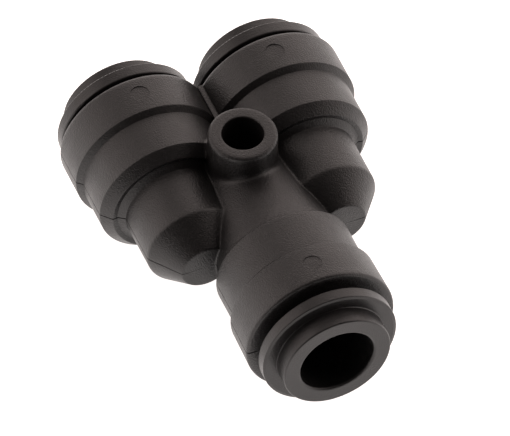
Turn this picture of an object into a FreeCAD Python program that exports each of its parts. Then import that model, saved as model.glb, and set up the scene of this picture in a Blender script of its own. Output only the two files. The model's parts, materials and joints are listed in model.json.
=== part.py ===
"""Push-fit two-way divider for 12 mm tube.

Frame: origin on the mounting hole's axis at the middle of the body's height, +Z up along the
hole, +Y towards the mouths of the two rear ports, X across them. Millimetres.
"""
import FreeCAD
import Part
import math
import os

V = FreeCAD.Vector

# Driving dimensions
TUBE_R = 6.0
TUBE_CLEARANCE = 0.1
PORT_SPACING = 22.8

# Port barrel: radii outside, and distances measured inwards from the mouth
MOUTH_R = 12.2
FRONT_LIP_R = 12.4
BARREL_R = 11.3
REAR_MOUTH_EDGE_R = 0.9
FRONT_MOUTH_EDGE_R = 0.5
MOUTH_SECTION = 7.15
STEP_SLOPE = 0.8
STEP_EDGE_R = 0.15

# Where each mouth lies along Y
REAR_MOUTH_Y = 17.87
FRONT_MOUTH_Y = -31.55

# Rear barrel behind the step
REAR_BARREL_END = 14.65
REAR_CHAMFER_R = 9.7
REAR_CHAMFER_END = 16.35
REAR_GROOVE_R = 8.95
REAR_GROOVE_AT = 16.2
REAR_NECK_R = 7.85
REAR_NECK_START = 16.95
REAR_NECK_FILLET = 0.2
REAR_CONE_START = 25.8
REAR_CONE_EDGE_R = 1.0
REAR_END = 30.8
REAR_END_R = 4.05
REAR_END_EDGE_R = 0.4

# Front barrel's back shoulder and the neck that carries it
FRONT_BARREL_END = 15.3
SHOULDER_EDGE_R = 0.35
NECK_START_Y = 2.5
NECK_START_R = 7.55
NECK_END_R = 10.2

# Web between the rear barrels
WEB_THICKNESS = 0.9
WEB_Z = 5.75
WEB_MOUTH_Y = 17.3

# Mounting boss
BOSS_R = 5.5
BOSS_HALF_HEIGHT = 13.0
BOSS_EDGE_R = 0.4
HOLE_R = 3.3
HOLE_EDGE_R = 0.25

# Port bore, distances from the mouth
LAND_R = 8.5
LAND_START = 0.5
LAND_END = 3.0
CHAMBER_R = 9.3
CAM_END = 6.5
CHAMBER_END = 10.2
SEAL_SEAT_R = 8.7
SEAL_SEAT_END = 13.4
SOCKET_R = TUBE_R + TUBE_CLEARANCE
SOCKET_LEAD = 0.4
TUBE_STOP = 16.6

# Flow passages
FLOW_R = 4.5
REAR_FLOW_END = 27.6
REAR_FLOW_TIP_END = 29.2
REAR_FLOW_TIP_R = 2.6
FRONT_FLOW_END_Y = -5.1
FLOW_EDGE_R = 0.5
CROSS_R = 3.1
CROSS_Y = -8.2

# Moulding marks
PIN_MARK_R = 1.55
PIN_MARK_FROM_MOUTH = 3.65
PIN_MARK_FLOOR = {"front": 12.15, "rear_left": 12.05, "rear_right": 12.05}

# Collet, distances measured inwards from its nose face
COLLET_BORE_R = TUBE_R + TUBE_CLEARANCE
NOSE_R = 8.95
NOSE_LENGTH = 3.0
NOSE_EDGE_R = 0.25
NOSE_BORE_EDGE_R = 0.45
NOSE_ROOT_R = 0.1
FLANGE_R = 11.2
FLANGE_THICKNESS = 2.2
FLANGE_BEVEL_WIDTH = 0.5
FLANGE_BEVEL_HEIGHT = 0.15
FLANGE_EDGE_R = 0.15
FLANGE_BACK_EDGE_R = 0.3
STEM_R = 8.3
HEAD_R = 9.15
HEAD_TAPER_LENGTH = 3.7
HEAD_LENGTH = 2.1
HEAD_LEAD = 0.3
COLLET_LENGTH = 15.0
OUT_GAP = 1.5
FINGERS = 8
SLOT_WIDTH = 1.0
SLOT_FROM_FLANGE = 1.9

# How far in from its out stop each collet rests
REST_IN = {"front": 0.0, "rear_left": 0.55, "rear_right": 0.55}

# Grip tooth, distances measured outwards from the head's end
TOOTH_WIDTH = 2.6
TOOTH_THICKNESS = 0.4
TOOTH_ROOT_R = 8.2
TOOTH_TIP_R = 5.9
TOOTH_TIP_FROM_END = 0.75
TOOTH_LEAN = 1.1
TOOTH_BEVEL = 0.45

# Seal
SEAL_SECTION_R = 1.4
SEAL_INNER_R = 5.95
SEAL_AT = 11.8

# Each port: where its mouth is, and whether its inward direction points to -Y
PORTS = {
    "front": (V(0, FRONT_MOUTH_Y, 0), False),
    "rear_left": (V(-PORT_SPACING / 2, REAR_MOUTH_Y, 0), True),
    "rear_right": (V(PORT_SPACING / 2, REAR_MOUTH_Y, 0), True),
}
AXIS = V(0, 1, 0)
FLANGE_BACK = NOSE_LENGTH + FLANGE_THICKNESS


def outline(corners):
    """A face in the XY plane. A corner is (x, y), or (x, y, radius) where it is rounded."""
    points = [V(c[0], c[1], 0) for c in corners]
    starts = []
    ends = []
    edges = []
    for i, corner in enumerate(corners):
        here = points[i]
        back = (points[i - 1] - here).normalize()
        ahead = (points[(i + 1) % len(points)] - here).normalize()
        radius = corner[2] if len(corner) > 2 else 0
        half_angle = back.getAngle(ahead) / 2
        reach = radius / math.tan(half_angle)
        starts.append(here + back * reach)
        ends.append(here + ahead * reach)
        if radius:
            inward = (back + ahead).normalize()
            middle = here + inward * (radius / math.sin(half_angle) - radius)
            edges.append(Part.Arc(starts[i], middle, ends[i]).toShape())
    for i, end in enumerate(ends):
        edges.append(Part.LineSegment(end, starts[(i + 1) % len(starts)]).toShape())
    return Part.Face(Part.Wire(Part.__sortEdges__(edges)))


def turned(corners):
    """A solid of revolution about Y from (radius, distance along Y) corners."""
    return outline(corners).revolve(V(0, 0, 0), AXIS, 360)


def in_port(shape, port):
    """Moves a shape from port coordinates, with +Y inwards from the mouth, into the port."""
    mouth, faces_back = PORTS[port]
    placed = shape.copy()
    if faces_back:
        placed.rotate(V(0, 0, 0), V(0, 0, 1), 180)
    placed.translate(mouth)
    return placed


def mouth_corners(lip_r, edge_r):
    """The outside of a port from its centre line to just behind the mouth section's step."""
    return [
        (0, 0),
        (lip_r, 0, edge_r),
        (MOUTH_R, MOUTH_SECTION, STEP_EDGE_R),
        (BARREL_R, MOUTH_SECTION + STEP_SLOPE),
    ]


def rear_barrel():
    return turned(mouth_corners(MOUTH_R, REAR_MOUTH_EDGE_R) + [
        (BARREL_R, REAR_BARREL_END, STEP_EDGE_R),
        (REAR_CHAMFER_R, REAR_CHAMFER_END, STEP_EDGE_R),
        (REAR_GROOVE_R, REAR_GROOVE_AT),
        (REAR_NECK_R, REAR_NECK_START, REAR_NECK_FILLET),
        (REAR_NECK_R, REAR_CONE_START, REAR_CONE_EDGE_R),
        (REAR_END_R, REAR_END, REAR_END_EDGE_R),
        (0, REAR_END),
    ])


def front_barrel():
    """The front port's barrel with the tapering neck behind it."""
    neck_start = NECK_START_Y - FRONT_MOUTH_Y
    return turned(mouth_corners(FRONT_LIP_R, FRONT_MOUTH_EDGE_R) + [
        (BARREL_R, FRONT_BARREL_END, SHOULDER_EDGE_R),
        (NECK_END_R, FRONT_BARREL_END, SHOULDER_EDGE_R),
        (NECK_START_R, neck_start),
        (0, neck_start),
    ])


def boss():
    upright = turned([
        (0, -BOSS_HALF_HEIGHT),
        (BOSS_R, -BOSS_HALF_HEIGHT, BOSS_EDGE_R),
        (BOSS_R, BOSS_HALF_HEIGHT, BOSS_EDGE_R),
        (0, BOSS_HALF_HEIGHT),
    ])
    upright.rotate(V(0, 0, 0), V(1, 0, 0), 90)
    return upright


def web():
    """The thin plate that fills the valley between the rear barrels."""
    corner = V(-WEB_THICKNESS / 2, 0, -WEB_Z)
    return Part.makeBox(WEB_THICKNESS, WEB_MOUTH_Y, 2 * WEB_Z, corner)


def port_bore(flow_corners):
    """What is hollow in a port: collet chamber, seal seat, tube socket and its flow passage."""
    return turned([
        (0, -LAND_START),
        (LAND_R + 2 * LAND_START, -LAND_START),
        (LAND_R, LAND_START),
        (LAND_R, LAND_END),
        (CHAMBER_R, CAM_END),
        (CHAMBER_R, CHAMBER_END),
        (SEAL_SEAT_R, CHAMBER_END),
        (SEAL_SEAT_R, SEAL_SEAT_END),
        (SOCKET_R + SOCKET_LEAD, SEAL_SEAT_END),
        (SOCKET_R, SEAL_SEAT_END + SOCKET_LEAD),
        (SOCKET_R, TUBE_STOP),
        (FLOW_R, TUBE_STOP),
    ] + flow_corners)


def mounting_hole():
    past = BOSS_HALF_HEIGHT + 1
    wide = HOLE_R + 1
    drill = turned([
        (0, -past),
        (wide, -past),
        (wide, -BOSS_HALF_HEIGHT),
        (HOLE_R, -BOSS_HALF_HEIGHT, HOLE_EDGE_R),
        (HOLE_R, BOSS_HALF_HEIGHT, HOLE_EDGE_R),
        (wide, BOSS_HALF_HEIGHT),
        (wide, past),
        (0, past),
    ])
    drill.rotate(V(0, 0, 0), V(1, 0, 0), 90)
    return drill


def fitting_body():
    outside = boss().fuse([
        in_port(rear_barrel(), "rear_left"),
        in_port(rear_barrel(), "rear_right"),
        in_port(front_barrel(), "front"),
        web(),
    ]).removeSplitter()
    rear_bore = port_bore([
        (FLOW_R, REAR_FLOW_END),
        (REAR_FLOW_TIP_R, REAR_FLOW_TIP_END),
        (0, REAR_FLOW_TIP_END),
    ])
    front_flow_end = FRONT_FLOW_END_Y - FRONT_MOUTH_Y
    front_bore = port_bore([(FLOW_R, front_flow_end, FLOW_EDGE_R), (0, front_flow_end)])
    cross_start = V(-PORT_SPACING / 2, CROSS_Y, 0)
    hollows = [
        mounting_hole(),
        in_port(rear_bore, "rear_left"),
        in_port(rear_bore, "rear_right"),
        in_port(front_bore, "front"),
        Part.makeCylinder(CROSS_R, PORT_SPACING, cross_start, V(1, 0, 0)),
    ]
    for port, mark_floor in PIN_MARK_FLOOR.items():
        start = V(0, PIN_MARK_FROM_MOUTH, mark_floor)
        mark = Part.makeCylinder(PIN_MARK_R, 1, start, V(0, 0, 1))
        hollows.append(in_port(mark, port))
    return outside.cut(hollows)


def tooth(number):
    """One grip tooth in collet coordinates, leaning inwards to its bevelled edge."""
    tip_at = COLLET_LENGTH - TOOTH_TIP_FROM_END
    root_at = tip_at - TOOTH_LEAN
    bevel_r = TOOTH_TIP_R + TOOTH_BEVEL
    lean_at_bevel = TOOTH_LEAN * (TOOTH_ROOT_R - bevel_r) / (TOOTH_ROOT_R - TOOTH_TIP_R)
    plate = outline([
        (TOOTH_ROOT_R, root_at),
        (TOOTH_ROOT_R, root_at + TOOTH_THICKNESS),
        (bevel_r, root_at + TOOTH_THICKNESS + lean_at_bevel),
        (TOOTH_TIP_R, tip_at),
    ]).extrude(V(0, 0, TOOTH_WIDTH))
    plate.translate(V(0, 0, -TOOTH_WIDTH / 2))
    plate.rotate(V(0, 0, 0), AXIS, 360 / FINGERS * number)
    return plate


def slot(number):
    """The gap between two fingers, round at its closed end."""
    start = FLANGE_BACK + SLOT_FROM_FLANGE
    reach = HEAD_R + 1
    gap = Part.makeBox(reach, COLLET_LENGTH, SLOT_WIDTH, V(0, start, -SLOT_WIDTH / 2))
    gap = gap.fuse(Part.makeCylinder(SLOT_WIDTH / 2, reach, V(0, start, 0), V(1, 0, 0)))
    gap.rotate(V(0, 0, 0), AXIS, 360 / FINGERS * (number + 0.5))
    return gap


def collet(teeth):
    """The release collet: nose and flange outside, and a stem split into headed fingers."""
    head_at = COLLET_LENGTH - HEAD_LENGTH
    ring = turned([
        (COLLET_BORE_R, 0, NOSE_BORE_EDGE_R),
        (NOSE_R, 0, NOSE_EDGE_R),
        (NOSE_R, NOSE_LENGTH, NOSE_ROOT_R),
        (FLANGE_R - FLANGE_BEVEL_WIDTH, NOSE_LENGTH),
        (FLANGE_R, NOSE_LENGTH + FLANGE_BEVEL_HEIGHT, FLANGE_EDGE_R),
        (FLANGE_R, FLANGE_BACK, FLANGE_BACK_EDGE_R),
        (STEM_R, FLANGE_BACK),
        (STEM_R, head_at - HEAD_TAPER_LENGTH),
        (HEAD_R, head_at),
        (HEAD_R, COLLET_LENGTH, HEAD_LEAD),
        (COLLET_BORE_R, COLLET_LENGTH, HEAD_LEAD),
    ])
    return ring.cut([slot(n) for n in range(FINGERS)] + teeth)


def seal():
    return Part.makeTorus(SEAL_INNER_R + SEAL_SECTION_R, SEAL_SECTION_R, V(0, SEAL_AT, 0), AXIS)


def save(shape, node):
    solids = shape.Solids
    if len(solids) != 1 or not shape.isValid():
        raise ValueError(f"{node}: {len(solids)} solids, valid {shape.isValid()}")
    solids[0].exportStep(f"parts/{node}.step")


os.makedirs("parts", exist_ok=True)
save(fitting_body(), "fitting_body")
teeth = [tooth(n) for n in range(FINGERS)]
grip_collet = collet(teeth)
for port, rest_in in REST_IN.items():
    from_nose = V(0, rest_in - OUT_GAP - FLANGE_BACK, 0)
    save(in_port(grip_collet.translated(from_nose), port), f"collet_{port}")
    save(in_port(seal(), port), f"o_ring_{port}")
    for number, plate in enumerate(teeth, start=1):
        save(in_port(plate.translated(from_nose), port), f"grip_tooth_{port}_{number}")
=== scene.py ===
"""The looks of a push-fit two-way divider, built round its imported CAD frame. Metres."""
import json
import math

import bmesh
import bpy
import numpy as np
from mathutils import Matrix, Vector


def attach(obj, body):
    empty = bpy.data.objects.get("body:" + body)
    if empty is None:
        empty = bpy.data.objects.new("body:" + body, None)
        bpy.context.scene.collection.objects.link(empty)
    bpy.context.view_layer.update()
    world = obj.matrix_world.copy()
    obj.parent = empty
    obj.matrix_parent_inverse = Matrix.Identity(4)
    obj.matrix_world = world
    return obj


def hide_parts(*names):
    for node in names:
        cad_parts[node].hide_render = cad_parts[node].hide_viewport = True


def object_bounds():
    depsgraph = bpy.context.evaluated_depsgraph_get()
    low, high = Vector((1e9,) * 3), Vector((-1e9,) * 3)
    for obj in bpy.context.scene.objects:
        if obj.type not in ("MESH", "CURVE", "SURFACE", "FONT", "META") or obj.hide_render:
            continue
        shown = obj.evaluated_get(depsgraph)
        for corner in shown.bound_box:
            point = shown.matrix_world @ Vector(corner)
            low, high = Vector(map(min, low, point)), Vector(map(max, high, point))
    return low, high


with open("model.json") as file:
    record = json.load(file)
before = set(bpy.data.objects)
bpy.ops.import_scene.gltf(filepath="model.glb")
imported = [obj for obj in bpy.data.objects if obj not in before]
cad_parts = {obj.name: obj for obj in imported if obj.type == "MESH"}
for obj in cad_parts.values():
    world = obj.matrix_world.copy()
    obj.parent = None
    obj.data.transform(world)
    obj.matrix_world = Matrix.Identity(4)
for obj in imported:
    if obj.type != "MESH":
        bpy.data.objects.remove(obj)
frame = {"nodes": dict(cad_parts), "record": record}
cad_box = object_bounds()
MM = 0.001

# Camera
AZIMUTH = -23.29
ELEVATION = 49.81
ROLL = 0.70
DISTANCE = 2.6414
LENS = 1191.7
LOOK_AT = Vector((2.468, 0.512, -9.124)) * MM

# Colours of the studio light and of the black acetal
WARM = (1, 0.87, 0.83)
BLACK = (0.0095, 0.009, 0.009)

# Fitting body in millimetres, to the CAD's sizes but for the boss's softer edge. Corners are (radius,
# distance along the axis, rounding), with a port's distances measured inwards from its mouth. A pin
# mark's floor is (x, y, z).
PORT_X = 11.4
REAR_MOUTH = 17.87
FRONT_MOUTH = -31.55
REAR = [
    (0, 0), (12.2, 0, 0.9), (12.2, 7.15, 0.15), (11.3, 7.95), (11.3, 14.65, 0.15), (9.7, 16.35, 0.15),
    (8.95, 16.2), (7.85, 16.95, 0.2), (7.85, 25.8, 1.0), (4.05, 30.8, 0.4), (0, 30.8),
]
FRONT = [
    (0, 0), (12.4, 0, 0.5), (12.2, 7.15, 0.15), (11.3, 7.95), (11.3, 15.3, 0.35), (10.2, 15.3, 0.35),
    (7.55, 34.05), (0, 34.05),
]
BOSS = [(0, -13), (5.5, -13, 0.65), (5.5, 13, 0.65), (0, 13)]
HOLE = [
    (0, -14), (4.3, -14), (4.3, -13), (3.3, -13, 0.25), (3.3, 13, 0.25), (4.3, 13), (4.3, 14), (0, 14),
]
PORT_HOLLOW = [
    (0, -0.5), (9.5, -0.5), (8.5, 0.5), (8.5, 3), (9.3, 6.5), (9.3, 10.2), (8.7, 10.2), (8.7, 13.4),
    (6.5, 13.4), (6.1, 13.8), (6.1, 16.6), (4.5, 16.6),
]
REAR_HOLLOW = PORT_HOLLOW + [(4.5, 27.6), (2.6, 29.2), (0, 29.2)]
FRONT_HOLLOW = PORT_HOLLOW + [(4.5, 26.45, 0.5), (0, 26.45)]
CROSS = [(0, -PORT_X), (3.1, -PORT_X), (3.1, PORT_X), (0, PORT_X)]
CROSS_Y = -8.2
MARK_R = 1.55
MARK_TOP = 13
MARK_FLOORS = [(-PORT_X, 14.22, 12.05), (PORT_X, 14.22, 12.05), (0, -27.9, 12.15)]
WEB_HALF_THICKNESS = 0.45
WEB_TOP = 5.75
WEB_END = 17.3
WEB_EDGE = 0.12

# How the moulding's walls run into each other, and its parting line
PORT_FILLET = 0.3
NECK_FILLET = 0.3
BOSS_FILLET = 0.7
WEB_FILLET = 0.15
SEAM_WIDTH = 0.22
SEAM_DEPTH = 0.14

# How the moulding's mesh is made. Its hollows are coarser than its outside. A vertex within ON_WALL of
# a wall counts as on it, and SLOPE_PROBE is how far off the fillets' slope is sampled.
HOLLOW_MESH = {"step": 1.5, "turns": 128}
MERGE_WITHIN = 0.008
DEGENERATE_UNDER = 0.01
ON_WALL = 0.09
SLOPE_PROBE = 0.004
SHARP_ANGLE = 38


def rounded(corners, steps=5):
    """A polyline through corners, with an arc at each that has a rounding."""
    points = []
    for i, corner in enumerate(corners):
        here = np.array(corner[:2], float)
        if len(corner) < 3:
            points.append(here)
            continue
        back = np.array(corners[i - 1][:2]) - here
        ahead = np.array(corners[(i + 1) % len(corners)][:2]) - here
        back /= np.linalg.norm(back)
        ahead /= np.linalg.norm(ahead)
        half = math.acos(np.clip(back @ ahead, -1, 1)) / 2
        radius = corner[2]
        middle = (back + ahead) / np.linalg.norm(back + ahead)
        centre = here + middle * radius / math.sin(half)
        out = -middle
        across = np.array((-out[1], out[0]))
        if across @ ahead < 0:
            across = -across
        swing = math.pi / 2 - half
        for t in np.linspace(-swing, swing, steps + 1):
            points.append(centre + radius * (math.cos(t) * out + math.sin(t) * across))
    return np.array(points)


def stepped(points, step):
    """The same polyline with its long stretches cut into steps."""
    cut = [points[0]]
    for start, end in zip(points, points[1:]):
        count = max(1, math.ceil(np.linalg.norm(end - start) / step))
        cut += [start + (end - start) * k / count for k in range(1, count + 1)]
    return np.array(cut)


def skin(rows, count):
    """The faces between neighbouring rows of a closed outline that has count points."""
    faces = []
    for i in range(rows - 1):
        for k in range(count):
            n = (k + 1) % count
            faces.append((i * count + k, (i + 1) * count + k, (i + 1) * count + n, i * count + n))
    return faces


def solid(name, vertices, faces):
    mesh = bpy.data.meshes.new(name)
    mesh.from_pydata(vertices, [], faces)
    mesh.update()
    piece = bpy.data.objects.new(name, mesh)
    bpy.context.scene.collection.objects.link(piece)
    return piece


def turned(name, corners, step=0.5, turns=160, seam=False):
    """A solid of revolution about Y. Where seam is set, the parting line's groove runs along it at Z 0."""
    points = stepped(rounded(corners), step)
    rings = points[1:-1]
    along = np.gradient(points, axis=0)[1:-1]
    inward = np.stack([-along[:, 1], along[:, 0]], 1)
    inward /= np.linalg.norm(inward, axis=1)[:, None]
    spread = 2 * math.pi / turns
    vertices = []
    for (radius, y), normal in zip(rings, inward):
        # Near the axis the groove narrows, so that it stays clear of the next vertices round.
        half = min(0.45 * spread, SEAM_WIDTH / 2 / radius)
        for k in range(turns):
            angles = [k * spread]
            if seam and k % (turns // 2) == 0:
                angles = [k * spread - half, k * spread, k * spread + half]
            for j, angle in enumerate(angles):
                r, at = (radius, y)
                in_groove = j == 1
                if in_groove:
                    r, at = np.array((radius, y)) + normal * SEAM_DEPTH
                vertices.append((r * math.cos(angle), at, r * math.sin(angle)))
    count = len(vertices) // len(rings)
    faces = skin(len(rings), count)
    for ring, pole in ((0, points[0]), (len(rings) - 1, points[-1])):
        vertices.append((0, pole[1], 0))
        hub = len(vertices) - 1
        for k in range(count):
            pair = (ring * count + k, ring * count + (k + 1) % count)
            faces.append((hub, *pair) if ring == 0 else (hub, *reversed(pair)))
    return solid(name, vertices, faces)


def web_plate():
    """The thin plate that fills the valley between the rear barrels."""
    half = WEB_HALF_THICKNESS
    signs = ((-1, -1), (1, -1), (1, 1), (-1, 1))
    outline = rounded([(across * half, up * WEB_TOP, WEB_EDGE) for across, up in signs], 3)
    outline = stepped(np.vstack([outline, outline[:1]]), 0.4)[:-1]
    stations = np.linspace(0, WEB_END, 50)
    count = len(outline)
    vertices = [(x, y, z) for y in stations for x, z in outline]
    ends = [tuple(range(count)), tuple(range(len(vertices) - 1, len(vertices) - 1 - count, -1))]
    return solid("web_plate", vertices, ends + skin(len(stations), count))


def port(corners, x, mouth, faces_back, **shape):
    """A turned solid in a port, its distances running inwards from the mouth."""
    piece = turned("port", corners, **shape)
    if faces_back:
        piece.data.transform(Matrix.Rotation(math.pi, 4, "Z"))
    piece.data.transform(Matrix.Translation((x, mouth, 0)))
    return piece


def upright(corners, x=0, y=0, **shape):
    """A turned solid about a vertical axis."""
    piece = turned("upright", corners, **shape)
    piece.data.transform(Matrix.Translation((x, y, 0)) @ Matrix.Rotation(math.pi / 2, 4, "X"))
    return piece


def combine(piece, others, operation):
    """Joins the others to the piece, or takes them away from it, and deletes them."""
    for other in others:
        change = piece.modifiers.new("combine", "BOOLEAN")
        change.operation = operation
        change.solver = "MANIFOLD"
        change.object = other
    seen = piece.evaluated_get(bpy.context.evaluated_depsgraph_get())
    mesh = bpy.data.meshes.new_from_object(seen)
    piece.modifiers.clear()
    piece.data = mesh
    for other in others:
        bpy.data.objects.remove(other)


def outside(points, r, y):
    """How far each place is outside a revolved outline; negative inside it."""
    nearest = np.full(r.shape, 1e9)
    inside = np.zeros(r.shape, bool)
    for (r0, y0), (r1, y1) in zip(points, points[1:]):
        dr = r1 - r0
        dy = y1 - y0
        t = np.clip(((r - r0) * dr + (y - y0) * dy) / (dr * dr + dy * dy), 0, 1)
        nearest = np.minimum(nearest, np.hypot(r - r0 - t * dr, y - y0 - t * dy))
        if dy:
            inside ^= ((y0 > y) != (y1 > y)) & (r < r0 + (y - y0) * dr / dy)
    return np.where(inside, -nearest, nearest)


def fillet_union(a, b, radius):
    """The distance outside two solids that a fillet joins, from the distances outside each."""
    short_of_a = np.maximum(radius - a, 0)
    short_of_b = np.maximum(radius - b, 0)
    return np.maximum(radius, np.minimum(a, b)) - np.hypot(short_of_a, short_of_b)


def walls(co):
    """The distances outside each of the moulding's plain solids."""
    x, y, z = co.T
    rear = rounded(REAR)
    left = outside(rear, np.hypot(x + PORT_X, z), REAR_MOUTH - y)
    right = outside(rear, np.hypot(x - PORT_X, z), REAR_MOUTH - y)
    front = outside(rounded(FRONT), np.hypot(x, z), y - FRONT_MOUTH)
    boss = outside(rounded(BOSS), np.hypot(x, y), z)
    half = WEB_HALF_THICKNESS
    beyond = np.stack([np.abs(x) - half, np.abs(z) - WEB_TOP, np.maximum(-y, y - WEB_END)]) + WEB_EDGE
    web = np.linalg.norm(np.maximum(beyond, 0), axis=0) + np.minimum(beyond.max(0), 0) - WEB_EDGE
    return left, right, front, boss, web


def moulding(co):
    """The distance outside the whole moulding, with a fillet at each inner corner."""
    left, right, front, boss, web = walls(co)
    whole = fillet_union(fillet_union(left, right, PORT_FILLET), front, NECK_FILLET)
    return fillet_union(fillet_union(whole, boss, BOSS_FILLET), web, WEB_FILLET)


def run_walls_together(mesh):
    """Moves the vertices near each inner corner onto the moulding's filleted surface."""
    co = np.zeros(len(mesh.vertices) * 3)
    mesh.vertices.foreach_get("co", co)
    co = co.reshape(-1, 3)
    near = np.sort(np.stack(walls(co)), 0)
    chosen = np.flatnonzero((np.abs(near[0]) < ON_WALL) & (near[1] < BOSS_FILLET))
    moved = co[chosen]
    for _ in range(5):
        value = moulding(moved)
        rises = [moulding(moved + e) - moulding(moved - e) for e in np.eye(3) * SLOPE_PROBE]
        slope = np.stack(rises, 1) / (2 * SLOPE_PROBE)
        moved = moved - value[:, None] * slope / np.maximum((slope ** 2).sum(1), 0.2)[:, None]
    moved[:, 1] = np.clip(moved[:, 1], FRONT_MOUTH, REAR_MOUTH)
    co[chosen] = moved
    mesh.vertices.foreach_set("co", co.ravel())


def fitting_body():
    """The whole moulding: its solids joined, its hollows cut, then its inner corners run together."""
    body = port(REAR, -PORT_X, REAR_MOUTH, True, seam=True)
    body.name = "moulded_body"
    combine(body, [
        port(REAR, PORT_X, REAR_MOUTH, True, seam=True),
        port(FRONT, 0, FRONT_MOUTH, False, seam=True),
        upright(BOSS),
        web_plate(),
    ], "UNION")
    marks = []
    for x, y, low in MARK_FLOORS:
        mark = [(0, low), (MARK_R, low), (MARK_R, MARK_TOP), (0, MARK_TOP)]
        marks.append(upright(mark, x, y, step=2, turns=48))
    cross = turned("cross", CROSS, step=1, turns=64)
    cross.data.transform(Matrix.Translation((0, CROSS_Y, 0)) @ Matrix.Rotation(math.pi / 2, 4, "Z"))
    combine(body, [
        port(REAR_HOLLOW, -PORT_X, REAR_MOUTH, True, **HOLLOW_MESH),
        port(REAR_HOLLOW, PORT_X, REAR_MOUTH, True, **HOLLOW_MESH),
        port(FRONT_HOLLOW, 0, FRONT_MOUTH, False, **HOLLOW_MESH),
        upright(HOLE, step=1.5, turns=96),
        cross,
    ] + marks, "DIFFERENCE")
    clean = bmesh.new()
    clean.from_mesh(body.data)
    bmesh.ops.remove_doubles(clean, verts=clean.verts, dist=MERGE_WITHIN)
    bmesh.ops.dissolve_degenerate(clean, edges=clean.edges, dist=DEGENERATE_UNDER)
    bmesh.ops.triangulate(clean, faces=clean.faces)
    clean.to_mesh(body.data)
    clean.free()
    run_walls_together(body.data)
    body.data.transform(Matrix.Scale(MM, 4))
    body.data.shade_smooth()
    body.data.set_sharp_from_angle(angle=math.radians(SHARP_ANGLE))
    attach(body, "fitting")
    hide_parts("fitting_body")
    return body


def direction(azimuth, elevation):
    """The unit vector out to a bearing, where azimuth 0 is in front and elevation 90 overhead."""
    a = math.radians(azimuth)
    e = math.radians(elevation)
    return Vector((math.sin(a) * math.cos(e), -math.cos(a) * math.cos(e), math.sin(e)))


def make_camera():
    data = bpy.data.cameras.new("camera")
    data.lens = LENS
    data.sensor_width = 36
    data.clip_start = 0.01
    data.clip_end = 20
    camera = bpy.data.objects.new("camera", data)
    bpy.context.scene.collection.objects.link(camera)
    back = direction(AZIMUTH, ELEVATION)
    turn = (-back).to_track_quat("-Z", "Y").to_matrix().to_4x4()
    roll = Matrix.Rotation(math.radians(ROLL), 4, "Z")
    camera.matrix_world = Matrix.Translation(LOOK_AT + back * DISTANCE) @ turn @ roll
    bpy.context.scene.camera = camera


def tree_of(name):
    material = bpy.data.materials.new(name)
    material.use_nodes = True
    tree = material.node_tree
    return material, tree.nodes, tree.links, tree.nodes["Principled BSDF"]


def surface(name, colour, roughness, grain_mm, grain_depth_mm, ior=1.48):
    """A plain surface with a fine grain, and a roughness that wanders a little over millimetres."""
    material, nodes, links, shader = tree_of(name)
    place = nodes.new("ShaderNodeTexCoord")
    grain = nodes.new("ShaderNodeTexNoise")
    grain.inputs["Scale"].default_value = 1 / (grain_mm * MM)
    grain.inputs["Detail"].default_value = 2
    links.new(place.outputs["Object"], grain.inputs["Vector"])
    bump = nodes.new("ShaderNodeBump")
    bump.inputs["Distance"].default_value = grain_depth_mm * MM
    links.new(grain.outputs["Fac"], bump.inputs["Height"])
    links.new(bump.outputs["Normal"], shader.inputs["Normal"])
    mottle = nodes.new("ShaderNodeTexNoise")
    mottle.inputs["Scale"].default_value = 1 / (3 * MM)
    links.new(place.outputs["Object"], mottle.inputs["Vector"])
    wander = nodes.new("ShaderNodeMapRange")
    wander.inputs["To Min"].default_value = roughness - 0.1
    wander.inputs["To Max"].default_value = roughness + 0.1
    links.new(mottle.outputs["Fac"], wander.inputs["Value"])
    links.new(wander.outputs["Result"], shader.inputs["Roughness"])
    shader.inputs["Base Color"].default_value = (*colour, 1)
    shader.inputs["IOR"].default_value = ior
    return material


def make_looks():
    """A material for each slot in the record."""
    looks = {
        "body_acetal": surface("body_acetal", BLACK, 0.37, 0.24, 0.1),
        "collet_acetal": surface("collet_acetal", BLACK, 0.32, 0.25, 0.05, ior=1.44),
        "tooth_steel": surface("tooth_steel", (0.6, 0.6, 0.6), 0.3, 0.4, 0.002),
        "seal_rubber": surface("seal_rubber", (0.02, 0.02, 0.02), 0.5, 0.4, 0.002),
    }
    looks["tooth_steel"].node_tree.nodes["Principled BSDF"].inputs["Metallic"].default_value = 1
    return looks


def dress(mesh, look):
    mesh.materials.clear()
    mesh.materials.append(look)


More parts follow.
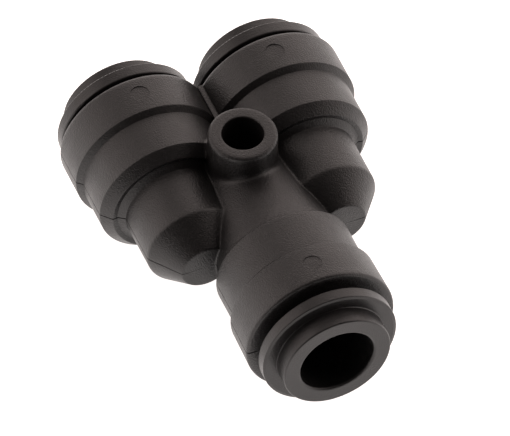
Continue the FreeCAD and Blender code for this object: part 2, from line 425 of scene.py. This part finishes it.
def make_floor():
    """A pale floor that glows softly and evenly, with painted shade where the boss stands on it: no glow
    in a disc there.
    """
    bpy.ops.mesh.primitive_plane_add(size=14, location=(0, 0, cad_box[0].z))
    floor = bpy.context.object
    floor.name = "floor"
    material, nodes, links, shader = tree_of("pale_floor")
    shader.inputs["Base Color"].default_value = (0.85, 0.85, 0.85, 1)
    shader.inputs["Roughness"].default_value = 0.9
    shader.inputs["Emission Color"].default_value = (1, 0.95, 0.93, 1)
    place = nodes.new("ShaderNodeTexCoord")
    away = nodes.new("ShaderNodeVectorMath")
    away.operation = "LENGTH"
    links.new(place.outputs["Object"], away.inputs[0])
    # Painted shade: the glow fades out within 5 to 6 mm of the boss's axis, so the floor under the boss,
    # seen through its hole, is dark.
    glow_and_painted_shade_under_boss = nodes.new("ShaderNodeMapRange")
    glow_and_painted_shade_under_boss.inputs["From Min"].default_value = 5 * MM
    glow_and_painted_shade_under_boss.inputs["From Max"].default_value = 6 * MM
    glow_and_painted_shade_under_boss.inputs["To Max"].default_value = 1.08
    links.new(away.outputs["Value"], glow_and_painted_shade_under_boss.inputs["Value"])
    links.new(glow_and_painted_shade_under_boss.outputs["Result"], shader.inputs["Emission Strength"])
    floor.data.materials.append(material)


def area_light(name, azimuth, elevation, distance, size, power):
    away = direction(azimuth, elevation)
    data = bpy.data.lights.new(name, "AREA")
    data.shape = "DISK"
    data.size = size
    data.energy = power
    data.color = WARM
    lamp = bpy.data.objects.new(name, data)
    lamp.location = away * distance
    lamp.rotation_euler = away.to_track_quat("Z", "Y").to_euler()
    bpy.context.scene.collection.objects.link(lamp)


def make_lights():
    world = bpy.data.worlds.new("studio")
    bpy.context.scene.world = world
    world.use_nodes = True
    background = world.node_tree.nodes["Background"]
    background.inputs["Color"].default_value = (*WARM, 1)
    background.inputs["Strength"].default_value = 0.06
    area_light("horizon_softbox", 157, 12, 3.5, 4.5, 85)
    area_light("back_softbox", 157, 68, 3.2, 4.5, 34)
    area_light("right_softbox", 92, 24, 3.2, 4, 60)
    area_light("left_softbox", -118, 24, 3.2, 4, 60)


make_camera()
make_floor()
make_lights()
looks = make_looks()
dress(fitting_body().data, looks["body_acetal"])
for row in frame["record"]["subparts"]:
    dress(frame["nodes"][row["node"]].data, looks[row["material_slot"]])
bpy.context.scene.view_settings.view_transform = "Standard"
